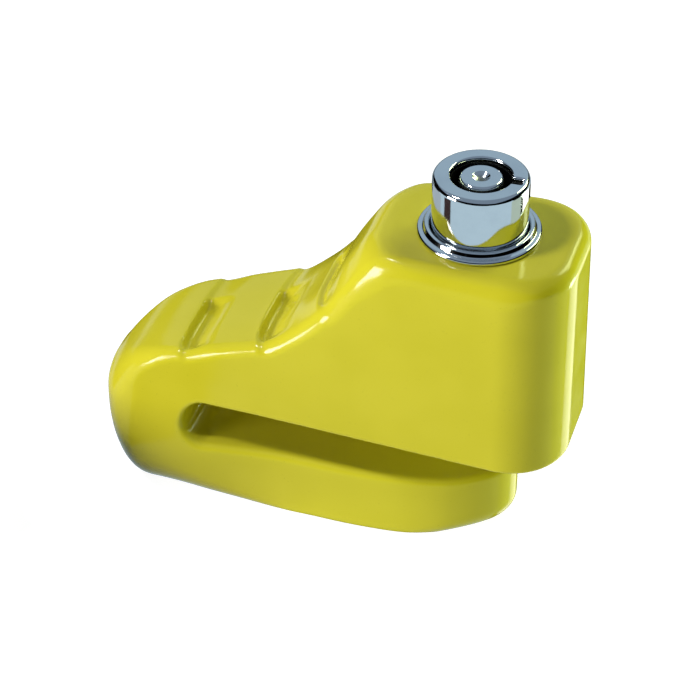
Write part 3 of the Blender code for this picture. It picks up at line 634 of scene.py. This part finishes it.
def set_screw():
    """Socket set screw with a thread, its nose in the barrel's slot."""
    nose, crest, root, pitch = 1.0, 2.0, 1.72, 0.5
    front, thread_start, thread_end, back = 7.15, 9.3, 13.25, 13.6
    angles = round_angles(48)
    rings = filleted([(0, front, 0), (nose, front, 0.2), (nose, thread_start - 0.45, 0),
                      (1.6, thread_start - 0.1, 0.1)], 4)
    for z in np.arange(thread_start, thread_end, pitch / 8):
        phase = ((z - thread_start) / pitch + angles / math.tau) % 1.0
        depth = np.abs(phase - 0.5) * 2
        rings.append((root + (crest - root) * np.clip(1.25 * depth - 0.1, 0, 1), z))
    rings += [(1.85, back - 0.25), (1.6, back), (0, back)]
    item = make_object("set_screw", *turned_mesh(rings, angles), None, None)
    turn = Matrix.Rotation(math.radians(-90), 4, "X")
    item.data.transform(Matrix.Translation((0, 0, SCREW_Z * MM)) @ turn)
    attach(item, "body")
    socket, socket_depth = 1.15, 1.8
    outline = [(socket * math.cos(turn), socket * math.sin(turn)) for turn in round_angles(6)]
    corners = [(x, y, SCREW_Z + z) for y in (back - socket_depth, back + 1) for x, z in outline]
    faces = [tuple(range(6)), tuple(range(11, 5, -1))]
    faces += [(index, index + 6, (index + 1) % 6 + 6, (index + 1) % 6) for index in range(6)]
    carve(item, [tool(corners, faces)], 30.0)
    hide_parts("guide_screw")
    return item


def spring_rise(share):
    """Height share along a spring: nearly flat for the end turns, even between them."""
    end = 0.16
    return float(np.interp(share, (0, end, 1 - end, 1), (0, 0.035, 0.965, 1)))


def return_spring():
    """A compression spring with closed, flattened ends, under the barrel."""
    radius, wire, turns, per_turn, sides = 4.3, 0.4, 6.5, 48, 12
    low, high = BUSH_TOP + 0.3, PLUG_SEAT - 0.3
    steps = int(turns * per_turn)
    upward = np.array((0.0, 0.0, 1.0))
    vertices, faces = [], []
    for index in range(steps + 1):
        share = index / steps
        angle = math.tau * turns * share
        outward = np.array((math.cos(angle), math.sin(angle), 0.0))
        centre = outward * radius + upward * (low + wire + (high - low - 2 * wire) * spring_rise(share))
        for turn in round_angles(sides):
            vertices.append(centre + (outward * math.cos(turn) + upward * math.sin(turn)) * wire)
    for start in range(0, steps * sides, sides):
        for side in range(sides):
            after = (side + 1) % sides
            faces.append((start + side, start + sides + side, start + sides + after, start + after))
    faces.append(tuple(range(sides)))
    faces.append(tuple(range(steps * sides + sides - 1, steps * sides - 1, -1)))
    item = make_object("return_coil", vertices, faces, "body", "spring_steel")
    smooth(item, 60)
    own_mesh(item)
    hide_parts("return_spring")
    return item


# ---------------------------------------------------------------- materials

class Shader:
    """A Principled material with short ways to add the nodes that vary it."""

    def __init__(self, name, **sockets):
        self.material = bpy.data.materials.new(name)
        self.material.use_nodes = True
        self.tree = self.material.node_tree
        self.surface = self.tree.nodes["Principled BSDF"]
        for socket, value in sockets.items():
            self.surface.inputs[socket.replace("_", " ")].default_value = value
        self.place = self.add("ShaderNodeTexCoord").outputs["Object"]

    def add(self, kind, links=None, **settings):
        node = self.tree.nodes.new(kind)
        for setting, value in settings.items():
            setattr(node, setting, value)
        for socket, value in (links or {}).items():
            if isinstance(value, bpy.types.NodeSocket):
                self.tree.links.new(value, node.inputs[socket])
            else:
                node.inputs[socket].default_value = value
        return node

    def stretched(self, scale):
        return self.add("ShaderNodeMapping", {"Vector": self.place, "Scale": scale}).outputs["Vector"]

    def noise(self, scale, detail=3.0, rough=0.5, place=None):
        links = {"Vector": place or self.place, "Scale": scale, "Detail": detail, "Roughness": rough}
        return self.add("ShaderNodeTexNoise", links).outputs["Fac"]

    def math(self, operation, first, second=0.0, third=0.0):
        return self.add("ShaderNodeMath", {0: first, 1: second, 2: third}, operation=operation).outputs[0]

    def spread(self, value, low, high, to_low, to_high):
        links = {"Value": value, "From Min": low, "From Max": high, "To Min": to_low, "To Max": to_high}
        return self.add("ShaderNodeMapRange", links, interpolation_type="SMOOTHSTEP").outputs["Result"]

    def mix(self, share, first, second):
        node = self.tree.nodes.new("ShaderNodeMix")
        node.data_type = "RGBA"
        for socket, value in zip((node.inputs[0], node.inputs[6], node.inputs[7]), (share, first, second)):
            if isinstance(value, bpy.types.NodeSocket):
                self.tree.links.new(value, socket)
            else:
                socket.default_value = value
        return node.outputs[2]

    def painted_keyway_shade(self):
        """Painted shade mask: 1 inside the keyway, below its bevel, and 0 elsewhere."""
        parts = self.add("ShaderNodeSeparateXYZ", {"Vector": self.place}).outputs
        squares = [self.math("MULTIPLY", part, part) for part in parts[:2]]
        radius = self.math("SQRT", self.math("ADD", *squares))
        inside = self.math("LESS_THAN", radius, (NOTCH_REACH + 0.02) * MM)
        below = self.spread(parts[2], (BARREL_TOP - 1.3) * MM, (BARREL_TOP - 0.5) * MM, 1.0, 0.0)
        return self.math("MULTIPLY", inside, below)

    def attribute(self, name):
        return self.add("ShaderNodeAttribute", attribute_name=name).outputs["Fac"]

    def bump(self, height, distance, strength=1.0, under=None):
        links = {"Height": height, "Distance": distance, "Strength": strength}
        if under is not None:
            links["Normal"] = under
        return self.add("ShaderNodeBump", links).outputs["Normal"]

    def use(self, **sockets):
        for socket, value in sockets.items():
            self.tree.links.new(value, self.surface.inputs[socket.replace("_", " ")])
        return self.material


def paint_material():
    """Glossy yellow enamel: faint orange peel, dust specks and a paler film over the edges."""
    shader = Shader("yellow_paint", Metallic=0.0, IOR=1.42, Specular_IOR_Level=0.38)
    cloud = shader.noise(60.0, 2.0)
    edge = shader.attribute("edge")
    clouded = shader.spread(cloud, 0.35, 0.65, 0.0, 1.0)
    base = shader.mix(clouded, (0.585, 0.520, 0.024, 1), (0.615, 0.545, 0.030, 1))
    base = shader.mix(shader.math("MULTIPLY", edge, 0.25), base, (0.640, 0.590, 0.020, 1))
    specks = shader.spread(shader.noise(2600.0, 1.0), 0.70, 0.78, 0.0, 0.35)
    base = shader.mix(specks, base, (0.42, 0.38, 0.02, 1))
    rough = shader.spread(shader.noise(140.0, 4.0, 0.6), 0.3, 0.7, 0.11, 0.17)
    rough = shader.math("ADD", rough, shader.math("MULTIPLY", edge, 0.03))
    peel = shader.bump(shader.noise(480.0, 2.0, 0.4), 0.000018)
    grain = shader.bump(shader.noise(3200.0, 2.0), 0.000004, under=peel)
    return shader.use(Base_Color=base, Roughness=rough, Normal=grain)


def chrome_material():
    """Bright plating with wiping marks, hairlines and a few dull specks; painted shade turns it near black
    down in the keyway.
    """
    shader = Shader("chrome_plate", Metallic=1.0)
    haze = shader.noise(120.0, 4.0, 0.6)
    hazed = shader.spread(haze, 0.35, 0.7, 0.0, 1.0)
    base = shader.mix(hazed, (0.76, 0.79, 0.80, 1), (0.70, 0.73, 0.75, 1))
    # Painted shade: the keyway's inside below its bevel is coloured near black, and made rougher.
    painted_keyway_shade = shader.painted_keyway_shade()
    base = shader.mix(painted_keyway_shade, base, (0.012, 0.013, 0.014, 1))
    hair = shader.noise(900.0, 3.0, 0.7, shader.stretched((1.0, 1.0, 9.0)))
    specks = shader.spread(shader.noise(3000.0, 1.0), 0.72, 0.8, 0.0, 0.15)
    rough = shader.math("ADD", shader.spread(haze, 0.3, 0.75, 0.05, 0.13), specks)
    rough = shader.math("ADD", rough, shader.math("MULTIPLY", painted_keyway_shade, 0.5))
    ripple = shader.bump(shader.noise(260.0, 2.0), 0.00001)
    lines = shader.bump(hair, 0.0000012, under=ripple)
    return shader.use(Base_Color=base, Roughness=rough, Normal=lines)


def machined_material(name, colours, rough, marks_scale, marks_depth):
    """Turned metal: fine rings along Z, stain clouds and uneven polish."""
    shader = Shader(name, Metallic=1.0)
    cloud = shader.noise(220.0, 4.0, 0.6)
    base = shader.mix(shader.spread(cloud, 0.35, 0.65, 0.0, 1.0), *[(*colour, 1) for colour in colours])
    marks = shader.noise(marks_scale, 2.0, 0.6, shader.stretched((0.05, 0.05, 1.0)))
    level = shader.spread(shader.noise(400.0, 3.0), 0.3, 0.7, rough[0], rough[1])
    return shader.use(Base_Color=base, Roughness=level, Normal=shader.bump(marks, marks_depth))


def rubber_material():
    """Black rubber with a grey bloom."""
    shader = Shader("black_rubber", Metallic=0.0)
    bloom = shader.noise(300.0, 4.0)
    bloomed = shader.spread(bloom, 0.4, 0.7, 0.0, 1.0)
    base = shader.mix(bloomed, (0.012, 0.012, 0.013, 1), (0.03, 0.03, 0.031, 1))
    rough = shader.spread(bloom, 0.3, 0.7, 0.55, 0.75)
    return shader.use(Base_Color=base, Roughness=rough, Normal=shader.bump(shader.noise(1500.0), 0.00002))


def floor_material():
    """Near white, and glowing so much that it renders white and the shadows on it are lost."""
    shader = Shader("pale_floor", Metallic=0.0, Specular_IOR_Level=0.0, Emission_Color=(1, 1, 1, 1),
                    Emission_Strength=0.96)
    tone = shader.noise(6.0, 2.0)
    base = shader.mix(shader.spread(tone, 0.3, 0.7, 0.0, 1.0), (0.36, 0.36, 0.37, 1), (0.39, 0.39, 0.40, 1))
    return shader.use(Base_Color=base, Roughness=shader.spread(tone, 0.3, 0.7, 0.6, 0.7))


def coat(item, material):
    item.data.materials.clear()
    item.data.materials.append(material)


# ---------------------------------------------------------------- studio

def direction(azimuth, elevation):
    """Towards a light or the camera; azimuth 0 is in front at -Y and 90 is at +X, in degrees."""
    a, e = math.radians(azimuth), math.radians(elevation)
    return Vector((math.sin(a) * math.cos(e), -math.cos(a) * math.cos(e), math.sin(e)))


def add_camera():
    data = bpy.data.cameras.new("camera")
    data.sensor_width = 36.0
    data.lens = CAMERA_LENS
    data.clip_start, data.clip_end = 0.01, 50.0
    camera = bpy.data.objects.new("camera", data)
    back = direction(math.degrees(CAMERA_AZIMUTH), math.degrees(CAMERA_ELEVATION))
    camera.location = CAMERA_TARGET + back * CAMERA_DISTANCE
    camera.rotation_euler = (-back).to_track_quat("-Z", "Y").to_euler()
    bpy.context.scene.collection.objects.link(camera)
    bpy.context.scene.camera = camera


def add_softbox(name, azimuth, elevation, size, power, colour):
    """A square area light that looks at the middle of the lock."""
    data = bpy.data.lights.new(name, "AREA")
    data.shape = "RECTANGLE"
    data.size = data.size_y = size
    data.energy = power
    data.color = colour
    lamp = bpy.data.objects.new(name, data)
    towards = direction(azimuth, elevation)
    lamp.location = LOCK_MIDDLE + towards * SOFTBOX_DISTANCE
    lamp.rotation_euler = (-towards).to_track_quat("-Z", "Y").to_euler()
    bpy.context.scene.collection.objects.link(lamp)


def add_card(name, centre, facing, width, height, colour):
    """A glowing or dark card that only reflections see; it faces along a direction."""
    facing = Vector(facing).normalized()
    right = Vector((1.0, 0.0, 0.0))
    if abs(facing.z) < 0.99:
        right = Vector((-facing.y, facing.x, 0.0)).normalized()
    up = facing.cross(right)
    corners = [Vector(centre) + right * (sx * width / 2) + up * (sy * height / 2)
               for sx, sy in ((-1, -1), (1, -1), (1, 1), (-1, 1))]
    mesh = bpy.data.meshes.new(name)
    mesh.from_pydata([tuple(corner) for corner in corners], [], [(0, 1, 2, 3)])
    item = bpy.data.objects.new(name, mesh)
    bpy.context.scene.collection.objects.link(item)
    material = bpy.data.materials.new(name)
    material.use_nodes = True
    surface = material.node_tree.nodes["Principled BSDF"]
    surface.inputs["Base Color"].default_value = (0, 0, 0, 1)
    surface.inputs["Specular IOR Level"].default_value = 0.0
    surface.inputs["Emission Color"].default_value = (*colour, 1)
    surface.inputs["Emission Strength"].default_value = 1.0
    coat(item, material)
    item.visible_camera = item.visible_diffuse = item.visible_shadow = False
    return item


def add_sky():
    """A bright band under the horizon, dark above it and straight below; reflections don't see it."""
    world = bpy.data.worlds.new("studio")
    world.use_nodes = True
    tree = world.node_tree
    place = tree.nodes.new("ShaderNodeTexCoord")
    parts = tree.nodes.new("ShaderNodeSeparateXYZ")
    height = tree.nodes.new("ShaderNodeMapRange")
    height.inputs["From Min"].default_value = -1.0
    bands = tree.nodes.new("ShaderNodeValToRGB")
    tree.links.new(place.outputs["Generated"], parts.inputs["Vector"])
    tree.links.new(parts.outputs["Z"], height.inputs["Value"])
    tree.links.new(height.outputs["Result"], bands.inputs["Fac"])
    tree.links.new(bands.outputs["Color"], tree.nodes["Background"].inputs["Color"])
    stops = bands.color_ramp.elements
    while len(stops) < len(SKY):
        stops.new(0.5)
    for stop, (position, colour) in zip(stops, SKY):
        stop.position = position
        stop.color = (*colour, 1)
    tree.nodes["Background"].inputs["Strength"].default_value = SKY_STRENGTH
    bpy.context.scene.world = world
    world.cycles_visibility.glossy = False


def add_floor():
    """White floor that lights nothing and isn't reflected: the band in the sky stands for its bounce."""
    half = 1.6
    mesh = bpy.data.meshes.new("floor")
    mesh.from_pydata([(-half, -half, 0), (half, -half, 0), (half, half, 0), (-half, half, 0)], [],
                     [(0, 1, 2, 3)])
    floor = bpy.data.objects.new("floor", mesh)
    floor.location.z = -0.00002
    bpy.context.scene.collection.objects.link(floor)
    coat(floor, floor_material())
    floor.visible_diffuse = floor.visible_glossy = floor.visible_shadow = False


def add_flag(name, centre, facing, width, height):
    """A black card that only takes light away: neither the camera nor reflections see it."""
    flag = add_card(name, centre, facing, width, height, (0, 0, 0))
    flag.visible_glossy = False
    flag.visible_diffuse = flag.visible_shadow = True


def add_distant_card(name, azimuth, elevation, distance, width, height, colour):
    """A card that faces the frame's origin from far off."""
    away = direction(azimuth, elevation)
    add_card(name, away * distance, away, width, height, colour)


def studio():
    """Softboxes, flags and cards; angles are azimuth and elevation.

    The flags shade the lower tail and the slot more than the shape of the lock does by itself.
    The two softboxes at the back are tinted yellow green, like the band in the sky.
    """
    bpy.context.scene.view_settings.view_transform = "Standard"
    add_sky()
    add_floor()
    add_flag("flag_under_tail", (-0.102, -0.055, -0.0006), LEVEL_UP, 0.136, 0.170)
    add_flag("flag_beside_tail", (-0.0896, -0.0180, -0.001), direction(-50, 0), 0.044, 0.038)
    add_flag("flag_behind_slot", (-0.012, 0.0175, 0.0165), (0, 1, 0), 0.049, 0.011)
    add_softbox("key", -50, 6, 0.20, 3.1, (1.0, 0.98, 0.95))
    add_softbox("upper_left", -66, 58, 0.08, 1.5, (0.96, 0.98, 1.0))
    add_softbox("back_right", 150, 38, 0.25, 1.9, (0.9, 1.0, 0.5))
    add_softbox("low_right", 130, -15, 0.25, 4.0, (0.8, 1.0, 0.7))

    add_distant_card("backdrop", 197, 38, 0.5, 0.6, 0.5, (0.35, 0.47, 0.58))
    add_card("ceiling", (0.0, 0.0, 0.6), LEVEL_DOWN, 1.6, 1.6, (0.20, 0.26, 0.34))
    add_card("front_paper", (0.0, -0.25, 0.001), LEVEL_UP, 0.7, 0.49, (0.52, 0.67, 0.77))
    add_card("back_paper", (0.0, 0.36, 0.001), LEVEL_UP, 0.9, 0.48, (0.46, 0.55, 0.62))
    add_distant_card("right_paper", 143, -38, CARD_DISTANCE, 0.20, 0.34, (2.0, 2.0, 1.8))
    add_distant_card("right_glow", 104, -38, CARD_DISTANCE, 0.21, 0.34, (0.50, 0.60, 0.50))
    add_distant_card("left_glow", -112, -38, CARD_DISTANCE, 0.34, 0.34, (0.45, 0.52, 0.58))
    add_card("dark_strip", (-0.060, -0.030, 0.019), direction(-69, 0), 0.022, 0.030, (0.05, 0.03, 0.03))


def main():
    add_camera()
    studio()

    paint = paint_material()
    chrome = chrome_material()
    steel = machined_material("steel", ((0.50, 0.51, 0.53), (0.60, 0.61, 0.63)), (0.22, 0.36),
                              5000.0, 0.000006)
    spring_steel = machined_material("spring_steel", ((0.30, 0.31, 0.34), (0.42, 0.42, 0.44)), (0.25, 0.4),
                                     3000.0, 0.000004)
    brass = machined_material("brass", ((0.68, 0.47, 0.19), (0.60, 0.40, 0.15)), (0.2, 0.34),
                              6000.0, 0.000005)
    # Key pins: brass coloured near black, painted shade for the dark keyway they sit in.
    shade_painted_brass = machined_material("brass_painted_shade", ((0.05, 0.04, 0.03), (0.03, 0.025, 0.02)), (0.3, 0.5),
                                   6000.0, 0.000005)
    rubber = rubber_material()
    by_slot = {"yellow_paint": paint, "chrome": chrome, "steel": steel, "spring_steel": spring_steel,
               "brass": brass, "rubber": rubber}

    coat(body_casting(), paint)
    for piece in (trim_collar(), barrel(), key_post()):
        coat(piece, chrome)
    for piece in (lock_pin(), guide_bush(), set_screw()):
        coat(piece, steel)
    coat(return_spring(), spring_steel)

    for part in frame["record"]["subparts"]:
        node = frame["nodes"][part["node"]]
        # The key pins take the near-black brass, which is painted shade.
        finish = shade_painted_brass if part["node"].startswith("key_pin") else by_slot[part["material_slot"]]
        for slot in node.material_slots:
            slot.material = finish


main()
